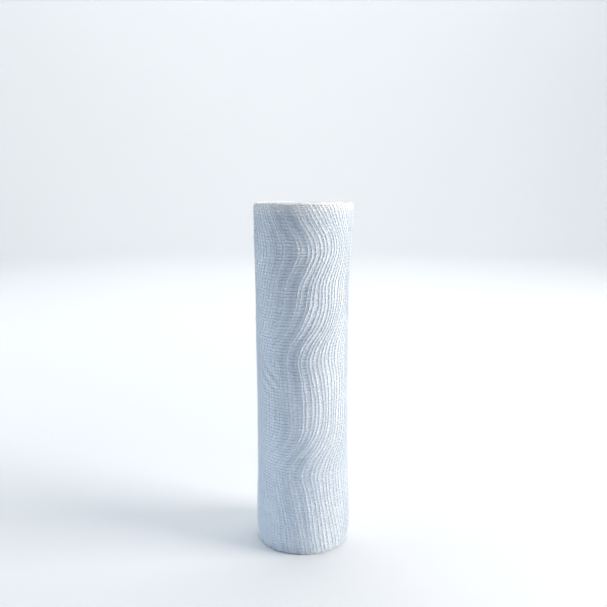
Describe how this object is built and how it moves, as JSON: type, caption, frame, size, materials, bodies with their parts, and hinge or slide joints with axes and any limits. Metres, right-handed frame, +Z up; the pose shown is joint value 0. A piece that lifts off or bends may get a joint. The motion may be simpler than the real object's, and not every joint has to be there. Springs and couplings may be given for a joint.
{
  "type": "gauze bandage roll",
  "caption": "Slim upright roll of open-weave cotton gauze bandage, wound from a single long strip, for wrapping limbs and holding dressings in place.",
  "frame": {"origin": "middle of the bounding box at the foot: the centre of the end that the roll stands on", "axes": "+Z up along the roll's axis, -Y towards the side that the picture shows, +X to the right in it"},
  "size_m": [0.0286, 0.0286, 0.1016],
  "materials": {
    "cotton_gauze": "matt bleached cotton in an open plain weave"
  },
  "bodies": {
    "root": {"gauze_roll": "cotton_gauze"}
  },
  "joints": []
}
